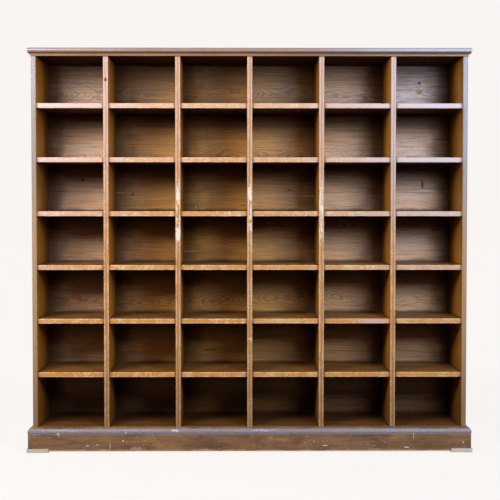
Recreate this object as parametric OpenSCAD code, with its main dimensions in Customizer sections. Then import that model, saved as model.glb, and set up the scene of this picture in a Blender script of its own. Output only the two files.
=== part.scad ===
// Cubby bookcase: an open case of pigeonholes in stained wood.
// The shelves and dividers are housed into each other, the top is dovetailed to the sides,
// a cove cornice and a moulded top board finish it above and a mitred plinth below.
// Millimetres. The front faces -Y. The origin is on the ground, under the middle of the case.

/* [Cubbies] */
// Cubbies side by side
columns = 6; // [3:1:6]
// Cubbies one above another
rows = 7; // [3:1:7]
// Clear width of a cubby
cell_w = 275.5; // [200:0.5:320]
// Clear height of the top row
top_row_clear = 192; // [130:0.5:300]
// Clear height of each middle row
row_clear = 201.5; // [130:0.5:300]
// Clear height of the bottom row
bottom_row_clear = 206; // [130:0.5:320]
// Depth from the front edges of the uprights to the face of the back
inner_depth = 303; // [220:1:400]

/* [Boards] */
// Thickness of a side
side_t = 20; // [18:0.5:28]
// Thickness of an upright divider
divider_t = 21; // [18:0.5:28]
// Thickness of a shelf
shelf_t = 21; // [14:0.5:28]
// Thickness of the bottom board
bottom_t = 21; // [16:0.5:28]
// Thickness of the carcass top, which is also the height of the cornice
carcass_top_t = 14; // [12:0.5:18]
// Thickness of the top board
top_t = 20; // [18:0.5:28]
// Thickness of a back board
back_t = 12; // [9:0.5:16]
// Height of the lowest back board's upper edge above the cubby floor
back_start_h = 68; // [45:1:120]
// Face height of the narrow back board above it
back_narrow_h = 212; // [140:1:260]
// Face height of the wide back board
back_wide_h = 440; // [280:1:500]
// Face height of the middle back board
back_middle_h = 256; // [140:1:320]
// Face height of the upper back board
back_upper_h = 285; // [140:1:320]
// Radius of the worn front arrises of uprights and shelves
arris = 2; // [1:0.5:4]

/* [Joints] */
// Depth of the housings that hold the boards' ends
housing_depth = 6; // [4:0.5:7]
// Distance from a shelf's front edge to the stopped end of its housing
housing_stop = 12; // [8:1:30]
// Distance of the shelves' front edges behind the uprights' front edges
shelf_setback = 5; // [2:0.5:15]
// Depth of the housings in the thin carcass top
top_housing_depth = 5; // [3:0.5:7]
// Width of the rebate in a side that takes the back boards' ends
rebate_w = 12; // [11:0.5:13]
// Width of the half-lap between two back boards
back_lap = 8; // [5:0.5:12]
// Dovetails on each end of the carcass top
tail_count = 4; // [3:1:6]
// Width of a dovetail pin at its narrow face
pin_w = 14; // [10:1:24]
// Spread of a dovetail flank over its length, as one part in this many
tail_slope = 7; // [5:1:9]
// Clearance round a board in its housing, lap, socket or mitre
joint_fit = 0.2; // [0.1:0.05:0.4]
// Gap at the blind end of a housing or rebate
end_gap = 0.5; // [0.3:0.1:0.9]

/* [Top and cornice] */
// Projection of the top board past the carcass, at the front and both sides
top_overhang = 15.5; // [13:0.5:20]
// Projection of the cornice's lower fillet
cornice_foot_w = 2; // [1:0.5:3]
// Height of the cornice's lower fillet
cornice_foot_h = 1.5; // [1:0.5:3]
// Height of the cornice's upper fillet
cornice_fillet_h = 2; // [1:0.5:3]

/* [Plinth] */
// Height of the plinth
plinth_h = 98; // [80:1:140]
// Thickness of the plinth board below its moulding
plinth_t = 18.5; // [14:0.5:22]
// Projection of the plinth's round moulding past the board
plinth_proud = 1.5; // [0.5:0.5:3]
// Height of the flat edge under the round moulding
plinth_lip = 3; // [1:0.5:6]
// Thickness of a floor bearer
bearer_t = 21; // [16:1:28]
// Leg of a glue block's triangular section
block_leg = 25; // [15:1:35]
// Length of a glue block
block_len = 60; // [40:5:100]
// Distance of the corner glue blocks from the plinth
block_inset = 60; // [40:5:75]

/* [Pads] */
// Length of a corner pad along the front
pad_len = 90; // [60:5:120]
// Depth of a corner pad from front to back
pad_dep = 70; // [55:5:100]
// Height that a pad stands below the plinth
pad_proud = 6; // [3:0.5:10]
// Depth that a pad is let into the plinth and the sides
pad_let_in = 10; // [5:0.5:16]
// Projection of a pad past the plinth board
pad_overhang = 5; // [3:0.5:10]
// Bevel on the inner end of the right-hand pads
pad_bevel = 8; // [2:0.5:12]

/* [Nails and screws] */
// Length of a cut nail in the back
nail_len = 38; // [30:1:50]
// Width and thickness of a cut nail's shank
nail_w = 2; // [1.5:0.5:2.5]
// Width of a cut nail's head
nail_head_w = 5; // [4:0.5:7]
// Height of a cut nail's head
nail_head_t = 1.5; // [1:0.5:2]
// Distance of the back nails from a board's edge
nail_edge = 25; // [18:1:35]
// Greatest spacing of the rows of nails in a back board
nail_row_gap = 240; // [160:5:300]
// Length of a moulding brad
brad_len = 30; // [24:1:34]
// Width and thickness of a moulding brad's shank
brad_w = 1.5; // [1:0.5:2]
// Width of a moulding brad's head
brad_head_w = 2.5; // [2.5:0.5:3]
// Depth that a brad is punched below the surface
brad_set = 1; // [0.5:0.5:1.5]
// Brads in each side of the plinth
side_brads = 3; // [2:1:5]
// Length of a top screw
screw_len = 28; // [24:1:30]
// Radius of a top screw's shank
screw_r = 2; // [1.5:0.25:2.5]
// Radius of a top screw's countersunk head
screw_head_r = 4; // [3.5:0.25:5]
// Height of a top screw's countersunk head
screw_head_h = 3; // [2:0.5:4]
// Width of a screw's slot
slot_w = 1; // [0.8:0.1:1.4]
// Distance of the screws from the front and back edges of the carcass top
screw_edge = 40; // [25:5:80]
// Clearance round a nail, brad or screw
nail_fit = 0.1; // [0.05:0.05:0.2]

/* [Hidden] */
// Cutters run this far past the face that they open
over = 1;
$fn = 48;

inner_w = columns * cell_w + (columns - 1) * divider_t;
inner_x = inner_w / 2;
outer_x = inner_x + side_t;

// Front of the uprights, face of the back boards and rear of the case
case_depth = plinth_t + pad_overhang + inner_depth + back_t;
y_front = plinth_t + pad_overhang - case_depth / 2;
y_back = y_front + inner_depth;
y_rear = y_back + back_t;

z_plinth = pad_proud;
z_floor = z_plinth + plinth_h;
z_bottom = z_floor - bottom_t;
z_ceiling = shelf_z(1) + shelf_t + top_row_clear;
z_top = z_ceiling + carcass_top_t;

cornice_r = carcass_top_t - cornice_foot_h - cornice_fillet_h;
cornice_w = cornice_foot_w + cornice_r;
plinth_r = plinth_t + plinth_proud;

tail_pitch = inner_depth / tail_count;
tail_w = tail_pitch - pin_w;
tail_root_w = tail_w - 2 * side_t / tail_slope;

// Back boards: the lowest one, then boards of four heights in turn, and one ripped to fit under the top
back_start = z_floor + back_start_h;
back_turn = [back_narrow_h, back_wide_h, back_middle_h, back_upper_h];
back_least_h = 110;
back_count = len(seams_from(0));
nail_inset = (housing_depth + rebate_w) / 2;
nail_x = concat(
    [-inner_x - nail_inset],
    [for (k = [1:columns - 1]) divider_x(k)],
    [inner_x + nail_inset]
);

old_oak = [0.47, 0.32, 0.19];
red_oak = [0.53, 0.35, 0.22];
dark_oak = [0.36, 0.25, 0.15];
grey_oak = [0.58, 0.46, 0.37];
raw_wood = [0.62, 0.50, 0.35];
pale_wood = [0.86, 0.82, 0.70];
dull_iron = [0.30, 0.28, 0.26];

// Left face of column c, counted from the left
function cell_x(c) = -inner_x + (c - 1) * (cell_w + divider_t);
// Middle of column c
function cell_mid(c) = cell_x(c) + cell_w / 2;
// Middle of divider k, to the right of column k
function divider_x(k) = cell_x(k) + cell_w + divider_t / 2;
// Underside of shelf r, counted from the top
function shelf_z(r) = z_floor + bottom_row_clear + (rows - 1 - r) * (shelf_t + row_clear);
// Height of seam i between two back boards, and all seams from i up that leave room for the last board
function back_seam(i) = i == 0 ? back_start : back_seam(i - 1) + back_turn[(i - 1) % len(back_turn)];
function seams_from(i) = back_seam(i) > z_top - back_least_h ? [] : concat(back_seam(i), seams_from(i + 1));
// Lower and upper edge of back board i on its face, counted from the ground
function back_low(i) = i == 0 ? z_plinth : back_seam(i - 1);
function back_high(i) = i == back_count ? z_top : back_seam(i);
// Heights from low to high in equal steps, none longer than the greatest spacing
function nail_rows(low, high) = let (steps = max(1, ceil((high - low) / nail_row_gap)))
    [for (k = [0:steps]) low + k * (high - low) / steps];
// Heights of the nails in back board i: the lowest board's lower ones go into the bottom board
function nail_z(i) = let (high = (i == back_count ? z_ceiling : back_high(i)) - nail_edge)
    i == 0 ? [high] : nail_rows(back_low(i) + nail_edge, high);
function shelf_name(r, c) = str("shelf_", r, "_", c);
function divider_name(k) = str("divider_", k);

// Section of a board, front edge at x = 0 and centred across y, with both front arrises rounded
module front_rounded(depth, thickness) {
    translate([arris, -thickness / 2]) square([depth - arris, thickness]);
    translate([0, arris - thickness / 2]) square([depth, thickness - 2 * arris]);
    for (side = [-1, 1])
        translate([arris, side * (thickness / 2 - arris)]) circle(arris);
}

// Extrudes a section along X: its x runs to the back and its y runs up
module along_x(length) {
    rotate([90, 0, 90]) linear_extrude(length) children();
}

// An upright board between two heights
module upright(x, thickness, depth, low, high) {
    translate([x, y_front, low]) rotate([0, 0, 90])
        linear_extrude(high - low) front_rounded(depth, thickness);
}

// Stopped housings for one column of shelf ends; dir is the side of the face that holds the wood
module shelf_housings(face_x, dir) {
    y_stop = y_front + shelf_setback + housing_stop - joint_fit;
    for (r = [1:rows - 1])
        translate([dir > 0 ? face_x - over : face_x - housing_depth, y_stop, shelf_z(r)])
            cube([housing_depth + over, y_back + over - y_stop, shelf_t + joint_fit]);
}

// A square cut nail, pointing down from its head at z = 0; grown, it is the hole for it
module square_nail(length, width, head_w, head_t, grow = 0) {
    mouth = grow > 0 ? head_w : 0;
    translate([-width / 2 - grow, -width / 2 - grow, -length - grow])
        cube([width + 2 * grow, width + 2 * grow, length]);
    translate([-head_w / 2 - grow, -head_w / 2 - grow, -head_t - grow])
        cube([head_w + 2 * grow, head_w + 2 * grow, head_t + grow + mouth]);
}

module back_nail(grow = 0) {
    rotate([-90, 0, 0]) square_nail(nail_len, nail_w, nail_head_w, nail_head_t, grow);
}

module brad(grow = 0) {
    square_nail(brad_len, brad_w, brad_head_w, brad_head_w / 2, grow);
}

// Nails of back board i into the uprights at the places xs
module upright_nails(i, xs, grow = 0) {
    for (x = xs, z = nail_z(i))
        translate([x, y_rear, z]) back_nail(grow);
}

// Nails of the lowest back board into the rear edge of the bottom board
module floor_nails(grow = 0) {
    for (c = [1:columns])
        translate([cell_mid(c), y_rear, z_bottom + bottom_t / 2]) back_nail(grow);
}

// Brads through the front of the plinth into the bottom board, one for each column
module plinth_front_brads(grow = 0) {
    z = z_bottom + bottom_t / 2;
    rise = z - (z_floor - plinth_r);
    for (c = [1:columns])
        translate([cell_mid(c), y_front - sqrt(plinth_r * plinth_r - rise * rise) + brad_set, z])
            rotate([90, 0, 0]) brad(grow);
}

// Brads through one side of the plinth into the right-hand side board
module plinth_side_brads(grow = 0) {
    for (i = [1:side_brads])
        translate([outer_x + plinth_t - brad_set,
                   y_front + i * inner_depth / (side_brads + 1),
                   z_plinth + plinth_h / 2])
            rotate([0, 90, 0]) brad(grow);
}

// Brads through the cornice's cove into the front edge of the carcass top
module cornice_brads(grow = 0) {
    rise = carcass_top_t / 2 - cornice_foot_h;
    cove = cornice_w - sqrt(cornice_r * cornice_r - rise * rise);
    for (c = [1:columns])
        translate([cell_mid(c), y_front - cove + brad_set, z_ceiling + carcass_top_t / 2])
            rotate([90, 0, 0]) brad(grow);
}

// Slotted countersunk screws, driven up through the carcass top; grown, they are their holes
module screw_places() {
    for (c = [1:columns], y = [y_front + screw_edge, y_back - screw_edge])
        translate([cell_mid(c), y, z_ceiling]) children();
}

module screw_body(grow = 0) {
    cylinder(r = screw_r + grow, h = screw_len + grow);
    cylinder(r1 = screw_head_r + grow, r2 = screw_r + grow, h = screw_head_h);
}

// The four corner pads, or the room that they are let into
module right_pad(grow = 0) {
    x_out = outer_x + plinth_t + pad_overhang;
    height = pad_proud + pad_let_in;
    translate([x_out - pad_len - grow, pad_dep, 0]) rotate([90, 0, 0])
        translate([0, 0, -grow]) linear_extrude(pad_dep + 2 * grow)
            polygon([[0, 0], [pad_len + 2 * grow, 0], [pad_len + 2 * grow, height],
                     [pad_bevel, height], [0, height - pad_bevel]]);
}

module left_pad(grow = 0) {
    mirror([1, 0, 0]) translate([outer_x + plinth_t + pad_overhang - pad_len - grow, -grow, 0])
        cube([pad_len + 2 * grow, pad_dep + 2 * grow, pad_proud + pad_let_in]);
}

module four_pads(grow = 0) {
    for (y = [-case_depth / 2, case_depth / 2 - pad_dep])
        translate([0, y, 0]) {
            right_pad(grow);
            left_pad(grow);
        }
}

// Plan of the dovetails on the right-hand end of the carcass top; grown, they are the sockets
module tails(grow = 0) {
    for (i = [1:tail_count])
        translate([inner_x, y_front + (i - 0.5) * tail_pitch])
            polygon([[-over, -tail_root_w / 2 - grow], [0, -tail_root_w / 2 - grow],
                     [side_t, -tail_w / 2 - grow], [side_t, tail_w / 2 + grow],
                     [0, tail_root_w / 2 + grow], [-over, tail_root_w / 2 + grow]]);
}

// A side board with its housings, back rebate, dovetail sockets and pad notches
module right_side() {
    difference() {
        upright(outer_x - side_t / 2, side_t, inner_depth + back_t, z_plinth, z_top);
        shelf_housings(inner_x, 1);
        translate([inner_x - over, y_front - over, z_bottom])
            cube([housing_depth + over, inner_depth + 2 * over, bottom_t + joint_fit]);
        translate([inner_x - over, y_back, z_plinth - over])
            cube([rebate_w + over, back_t + over, z_top - z_plinth + 2 * over]);
        translate([0, 0, z_ceiling]) linear_extrude(carcass_top_t + over) tails(joint_fit);
        for (i = [0:back_count])
            upright_nails(i, [inner_x + nail_inset], nail_fit);
        plinth_side_brads(nail_fit);
        four_pads(joint_fit);
    }
}

module side_right() {
    color(old_oak) right_side();
}

module side_left() {
    color(old_oak) difference() {
        mirror([1, 0, 0]) right_side();
        four_pads(joint_fit);
    }
}

// An upright divider, housed into the bottom board and the carcass top
module divider(k) {
    x = divider_x(k);
    color(old_oak) difference() {
        upright(x, divider_t, inner_depth, z_floor - housing_depth,
                z_ceiling + top_housing_depth - end_gap);
        shelf_housings(x - divider_t / 2, 1);
        shelf_housings(x + divider_t / 2, -1);
        for (i = [0:back_count])
            upright_nails(i, [x], nail_fit);
    }
}

// A shelf: its ends sit in the housings, with a shoulder at the front that hides each housing
module shelf(r, c) {
    tongue = housing_depth - end_gap;
    color(red_oak) difference() {
        translate([cell_x(c) - tongue, y_front + shelf_setback, shelf_z(r) + shelf_t / 2])
            along_x(cell_w + 2 * tongue) front_rounded(inner_depth - shelf_setback, shelf_t);
        for (x = [cell_x(c) - tongue - over, cell_x(c) + cell_w])
            translate([x, y_front + shelf_setback - over, shelf_z(r) - over])
                cube([tongue + over, housing_stop + over, shelf_t + 2 * over]);
    }
}

// The bottom board, with a housing for the foot of each divider
module bottom_board() {
    reach = inner_x + housing_depth - end_gap;
    color(dark_oak) difference() {
        translate([-reach, y_front, z_bottom]) cube([2 * reach, inner_depth, bottom_t]);
        divider_housings(z_floor - housing_depth, housing_depth + over);
        floor_nails(nail_fit);
        plinth_front_brads(nail_fit);
    }
}

module divider_housings(low, height) {
    for (k = [1:columns - 1])
        translate([divider_x(k) - divider_t / 2 - joint_fit, y_front - over, low])
            cube([divider_t + 2 * joint_fit, inner_depth + 2 * over, height]);
}

// The carcass top, dovetailed to the sides and hidden behind the cornice
module carcass_top() {
    color(dark_oak) difference() {
        translate([0, 0, z_ceiling]) linear_extrude(carcass_top_t) {
            translate([-inner_x, y_front]) square([inner_w, inner_depth]);
            tails();
            mirror([1, 0]) tails();
        }
        divider_housings(z_ceiling - over, top_housing_depth + over);
        screw_places() {
            screw_body(nail_fit);
            translate([0, 0, -over]) cylinder(r = screw_head_r + nail_fit, h = over + nail_fit);
        }
        cornice_brads(nail_fit);
    }
}

// Section of the top board: a flat board with a half-round nose at x = 0
module nosed_section(length) {
    translate([top_t / 2, 0]) square([length - top_t / 2, top_t]);
    translate([top_t / 2, top_t / 2]) circle(top_t / 2);
}

// The top board: its nose runs along the front and, mitred, along both ends
module top_board() {
    reach = outer_x + top_overhang;
    depth = top_overhang + inner_depth + back_t;
    y_nose = y_front - top_overhang;
    color(grey_oak) difference() {
        intersection() {
            translate([-reach, y_nose, z_top]) along_x(2 * reach) nosed_section(depth);
            translate([0, y_nose + depth, z_top]) rotate([90, 0, 0]) linear_extrude(depth) {
                translate([-reach, 0]) nosed_section(reach);
                mirror([1, 0]) translate([-reach, 0]) nosed_section(reach);
            }
        }
        screw_places() screw_body(nail_fit);
    }
}

// Section of the cornice, standing out in x: a cove between two fillets
module cornice_section() {
    difference() {
        square([cornice_w, carcass_top_t]);
        translate([cornice_w, cornice_foot_h]) circle(cornice_r);
        translate([cornice_foot_w, -over]) square([cornice_r + over, cornice_foot_h + over]);
    }
}

// Section of the plinth, standing out in x: a board with a quarter-round moulding on top
module plinth_section() {
    square([plinth_t, plinth_h - plinth_r]);
    translate([0, plinth_h - plinth_r - plinth_lip]) square([plinth_r, plinth_lip]);
    translate([0, plinth_h - plinth_r]) intersection() {
        circle(plinth_r);
        square(plinth_r);
    }
}

// A moulding along the front of the carcass, mitred at both ends
module front_run(width, height, low) {
    intersection() {
        translate([-outer_x - width, y_front, low]) mirror([0, 1, 0])
            along_x(2 * (outer_x + width)) children();
        translate([0, y_front, low - over]) linear_extrude(height + 2 * over)
            polygon([[-outer_x, 0], [outer_x, 0],
                     [outer_x + width, -width], [-outer_x - width, -width]]);
    }
}

// A moulding along the right-hand side, mitred at the front and square at the back
module side_run(width, height, low) {
    intersection() {
        translate([outer_x, y_rear, low]) rotate([90, 0, 0])
            linear_extrude(y_rear - y_front + width) children();
        translate([outer_x, y_front + joint_fit, low - over]) linear_extrude(height + 2 * over)
            polygon([[0, 0], [width, -width], [width, case_depth], [0, case_depth]]);
    }
}

module cornice_front() {
    color(grey_oak) difference() {
        front_run(cornice_w, carcass_top_t, z_ceiling) cornice_section();
        cornice_brads(nail_fit);
    }
}

module cornice_right() {
    color(grey_oak) side_run(cornice_w, carcass_top_t, z_ceiling) cornice_section();
}

module cornice_left() {
    color(grey_oak) mirror([1, 0, 0]) side_run(cornice_w, carcass_top_t, z_ceiling) cornice_section();
}

module plinth_front() {
    color(old_oak) difference() {
        front_run(plinth_r, plinth_h, z_plinth) plinth_section();
        plinth_front_brads(nail_fit);
        four_pads(joint_fit);
    }
}

module plinth_side() {
    difference() {
        side_run(plinth_r, plinth_h, z_plinth) plinth_section();
        plinth_side_brads(nail_fit);
    }
}

module plinth_right() {
    color(old_oak) difference() {
        plinth_side();
        four_pads(joint_fit);
    }
}

module plinth_left() {
    color(old_oak) difference() {
        mirror([1, 0, 0]) plinth_side();
        four_pads(joint_fit);
    }
}

// One back board: the upper edge laps behind the next board
module back_board(i) {
    reach = inner_x + rebate_w - end_gap;
    low = i == 0 ? back_low(i) : back_low(i) + joint_fit;
    high = back_high(i);
    difference() {
        translate([-reach, y_back, 0]) along_x(2 * reach) difference() {
            translate([0, low]) square([back_t, high - low + (i == back_count ? 0 : back_lap)]);
            if (i < back_count)
                translate([-over, high]) square([over + (back_t + joint_fit) / 2, back_lap + over]);
            if (i > 0)
                translate([(back_t - joint_fit) / 2, low - over])
                    square([back_t, back_lap + joint_fit + over]);
        }
        upright_nails(i, nail_x, nail_fit);
        if (i == 0)
            floor_nails(nail_fit);
        if (i == 0)
            four_pads(joint_fit);
    }
}

module back_boards() {
    color(dark_oak) for (i = [0:back_count]) back_board(i);
}

// Bearers from front to back, which carry the bottom board under every second divider
module floor_bearers() {
    color(raw_wood) for (k = [2:2:columns - 1])
        translate([divider_x(k) - bearer_t / 2, y_front, z_plinth])
            cube([bearer_t, inner_depth, z_bottom - z_plinth]);
}

// Triangular glue blocks in the corners under the bottom board
module glue_block() {
    along_x(block_len) polygon([[0, 0], [block_leg, 0], [0, -block_leg]]);
}

module glue_blocks() {
    color(raw_wood) {
        for (c = [1:columns])
            translate([cell_mid(c) - block_len / 2, y_front, z_bottom]) glue_block();
        for (side = [0, 1], y = [y_front + block_inset, y_back - block_inset - block_len])
            mirror([side, 0, 0]) translate([inner_x, y, z_bottom]) rotate([0, 0, 90]) glue_block();
    }
}

module corner_pads() {
    color(pale_wood) four_pads();
}

module back_nails() {
    color(dull_iron) {
        for (i = [0:back_count]) upright_nails(i, nail_x);
        floor_nails();
    }
}

module moulding_brads() {
    color(dull_iron) {
        plinth_front_brads();
        cornice_brads();
        plinth_side_brads();
        mirror([1, 0, 0]) plinth_side_brads();
    }
}

module top_screws() {
    color(dull_iron) screw_places() difference() {
        screw_body();
        translate([-screw_head_r, -slot_w / 2, -over])
            cube([2 * screw_head_r, slot_w, over + screw_head_h / 3]);
    }
}

top_board();
carcass_top();
bottom_board();
side_left();
side_right();
for (k = [1:columns - 1])
    divider(k);
for (r = [1:rows - 1], c = [1:columns])
    shelf(r, c);
cornice_front();
cornice_left();
cornice_right();
plinth_front();
plinth_left();
plinth_right();
back_boards();
floor_bearers();
glue_blocks();
corner_pads();
back_nails();
moulding_brads();
top_screws();
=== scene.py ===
# %% [markdown]
# # A cubby bookcase, dressed
#
# The real case is a school or shop cabinet of six by seven cubbies, made of planed boards and finished
# with dark shellac that hands have rubbed away on every front edge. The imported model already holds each
# board, joint and nail at its real size. This lesson gives those boards worn edges and an old finish, and
# sets the case in soft light from two sides.

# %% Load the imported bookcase
import math

import bmesh
import bpy
from mathutils import Matrix, Vector, noise


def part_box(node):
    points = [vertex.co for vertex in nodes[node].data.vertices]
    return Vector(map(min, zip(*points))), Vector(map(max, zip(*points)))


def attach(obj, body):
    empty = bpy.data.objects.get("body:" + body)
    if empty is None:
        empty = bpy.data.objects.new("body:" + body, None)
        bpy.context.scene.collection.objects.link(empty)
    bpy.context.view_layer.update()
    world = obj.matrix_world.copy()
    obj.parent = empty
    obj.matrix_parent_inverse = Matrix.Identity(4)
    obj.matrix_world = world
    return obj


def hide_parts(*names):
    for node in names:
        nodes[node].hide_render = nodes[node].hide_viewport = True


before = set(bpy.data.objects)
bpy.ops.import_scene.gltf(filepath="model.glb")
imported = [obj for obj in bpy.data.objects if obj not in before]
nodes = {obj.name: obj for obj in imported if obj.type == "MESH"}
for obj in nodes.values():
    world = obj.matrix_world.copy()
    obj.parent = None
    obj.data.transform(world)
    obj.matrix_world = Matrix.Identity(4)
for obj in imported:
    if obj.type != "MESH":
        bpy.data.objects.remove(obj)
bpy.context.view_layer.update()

scene = bpy.context.scene

# %% [markdown]
# The case is built in planes: the front edges of the uprights, the shelves set back a little behind them,
# the face of the back boards. Everything below is placed from these planes, so they are read from the
# packed boards once and never typed in.

# %% Read the planes of the case
MM = 0.001
TOUCH = 0.01 * MM     # points this close lie in one plane


def low(name):
    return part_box(name)[0]


def high(name):
    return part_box(name)[1]


DIVIDERS = sorted(n for n in nodes if n.startswith("divider_"))
SHELVES = sorted(n for n in nodes if n.startswith("shelf_"))
FRONT = low("divider_1").y
SHELF_FRONT = low("shelf_1_1").y
BACK = low("back_boards").y
REAR = high("back_boards").y
FLOOR_Z = high("bottom_board").z
CEILING_Z = low("carcass_top").z
SIDE_X = high("side_right").x
PITCH_X = low("divider_2").x - low("divider_1").x
PITCH_Z = low("shelf_1_1").z - low("shelf_2_1").z
SHELF_T = high("shelf_1_1").z - low("shelf_1_1").z
UPRIGHT_T = high("divider_1").x - low("divider_1").x
print("uprights", len(DIVIDERS), "shelves", len(SHELVES), "front", round(FRONT, 4), "back", round(BACK, 4))

# %% [markdown]
# The photograph was taken from the middle of the case, a little below its half height, with a long lens.
# The camera is fitted to about eighty places on board edges, so its place is written as real distances.
# Its slight turn is the tripod's.

# %% Set the camera
CAMERA_X = -38.4 * MM
CAMERA_Z = 994.5 * MM
CAMERA_BEFORE_FRONT = 4.796
LENS = 83.6
TURN_LEFT = math.radians(-0.469)
TILT_DOWN = math.radians(1.865)


def put(name, data):
    """A new object in the scene."""
    made = bpy.data.objects.new(name, data)
    scene.collection.objects.link(made)
    return made


camera = put("camera", bpy.data.cameras.new("camera"))
camera.data.lens = LENS
camera.data.sensor_width = 36
camera.matrix_world = (
    Matrix.Translation((CAMERA_X, FRONT - CAMERA_BEFORE_FRONT, CAMERA_Z))
    @ Matrix.Rotation(TURN_LEFT, 4, "Z")
    @ Matrix.Rotation(math.pi / 2 - TILT_DOWN, 4, "X")
)
scene.camera = camera
print("camera at", [round(v, 3) for v in camera.location])

# %% [markdown]
# Node trees are long to write out one call at a time. A Tree adds a node, fills its sockets with numbers or
# links, and names the few sums that every finish uses, so that each material below reads as a recipe. A
# group is made by a function that takes the group's inputs and returns its outputs by name.

# %% Helpers for node trees
KINDS = {float: "Float", int: "Int", tuple: "Vector"}
ZERO = (0.0, 0.0, 0.0)
HALF = (0.5, 0.5, 0.5)


class Tree:
    """A node tree under way. What goes into a socket is a number, a tuple or another node's socket."""

    def __init__(self, data):
        self.data = data

    def fill(self, socket, value):
        if isinstance(value, bpy.types.NodeSocket):
            self.data.links.new(value, socket)
        else:
            socket.default_value = (*value, 1.0) if socket.type == "RGBA" else value

    def add(self, kind, sockets=None, **settings):
        """A new node with its settings and its input sockets, which are named or counted."""
        made = self.data.nodes.new(kind)
        for key, value in settings.items():
            setattr(made, key, value)
        for key, value in (sockets or {}).items():
            self.fill(made.inputs[key], value)
        return made

    def out(self, kind, sockets=None, **settings):
        """The first output of a new node."""
        return self.add(kind, sockets, **settings).outputs[0]

    def use(self, group, **sockets):
        """One use of a shader group; returns its outputs."""
        return self.add("ShaderNodeGroup", sockets, node_tree=group).outputs

    def calc(self, operation, *values):
        return self.out("ShaderNodeMath", dict(enumerate(values)), operation=operation)

    def vec(self, operation, *values):
        return self.out("ShaderNodeVectorMath", dict(enumerate(values)), operation=operation)

    def times(self, first, *others):
        for other in others:
            first = self.calc("MULTIPLY", first, other)
        return first

    def line(self, value, slope, start):
        """A straight line: the value times the slope, plus the start."""
        return self.calc("MULTIPLY_ADD", value, slope, start)

    def less(self, first, second):
        """The first less the second."""
        return self.calc("SUBTRACT", first, second)

    def rest(self, mask):
        """What a mask leaves: 1 where it is 0."""
        return self.less(1.0, mask)

    def length(self, vector):
        return self.add("ShaderNodeVectorMath", {0: vector}, operation="LENGTH").outputs["Value"]

    def split(self, vector):
        return self.add("ShaderNodeSeparateXYZ", {0: vector}).outputs

    def join(self, x, y, z):
        return self.out("ShaderNodeCombineXYZ", {0: x, 1: y, 2: z})

    def even(self, value):
        return self.join(value, value, value)

    def ramp(self, value, start, end, first=0.0, last=1.0):
        """A smooth step from first to last while the value goes from start to end."""
        sockets = {0: value, 1: start, 2: end, 3: first, 4: last}
        return self.out("ShaderNodeMapRange", sockets, interpolation_type="SMOOTHSTEP")

    def fade(self, value, start, end, most=1.0):
        """A smooth step down to nothing."""
        return self.ramp(value, start, end, most, 0.0)

    def cloud(self, vector, per_metre, detail=2, output="Fac"):
        """Noise with its own number of waves per metre, the same for each axis or one for each."""
        if isinstance(per_metre, int):
            per_metre = (per_metre, per_metre, per_metre)
        sockets = {"Vector": self.vec("MULTIPLY", vector, per_metre), "Scale": 1.0, "Detail": detail}
        return self.add("ShaderNodeTexNoise", sockets).outputs[output]

    def shifted(self, vector, seed, by):
        """The vector moved along by a seed, so that no two boards meet the same noise."""
        return self.vec("ADD", vector, self.vec("MULTIPLY", self.even(seed), by))

    def blend(self, mask, first, second, kind="MIX"):
        """Colour that goes from first to second as the mask goes from 0 to 1."""
        sockets = {0: mask, 6: first, 7: second}
        return self.add("ShaderNodeMix", sockets, data_type="RGBA", blend_type=kind).outputs[2]


def open_socket(data, label, value, in_out):
    """Gives a group a socket for a number or a vector, or for the kind of thing that its label names."""
    kind = KINDS.get(type(value), label)
    made = data.interface.new_socket(label, in_out=in_out, socket_type="NodeSocket" + kind)
    if value is not None:
        made.default_value = value


def new_group(kind, name, inputs, build):
    """A Shader or Geometry group: names with default values go in, and build returns what comes out."""
    data = bpy.data.node_groups.new(name, kind + "NodeTree")
    for label, value in inputs.items():
        open_socket(data, label, value, "INPUT")
    tree = Tree(data)
    found = build(tree, *list(data.nodes.new("NodeGroupInput").outputs)[:len(inputs)])
    for label in found:
        open_socket(data, label, None if label == "Geometry" else 0.0, "OUTPUT")
    end = data.nodes.new("NodeGroupOutput").inputs
    for label, value in found.items():
        tree.fill(end[label], value)
    print(name, "nodes:", len(data.nodes))
    return data


print("node helpers ready")

# %% [markdown]
# A board is a slice through a tree, so its figure is worked out the way the tree grew it. Distance from
# the heart of the tree gives the ring, the heart wanders slowly along the board, and where the face cuts
# the rings at a flat angle they open into long pointed arches. The group expects the grain along x.
# Painting stripes would be quicker, but only rings in space agree on the face and the edge of a board.

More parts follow.
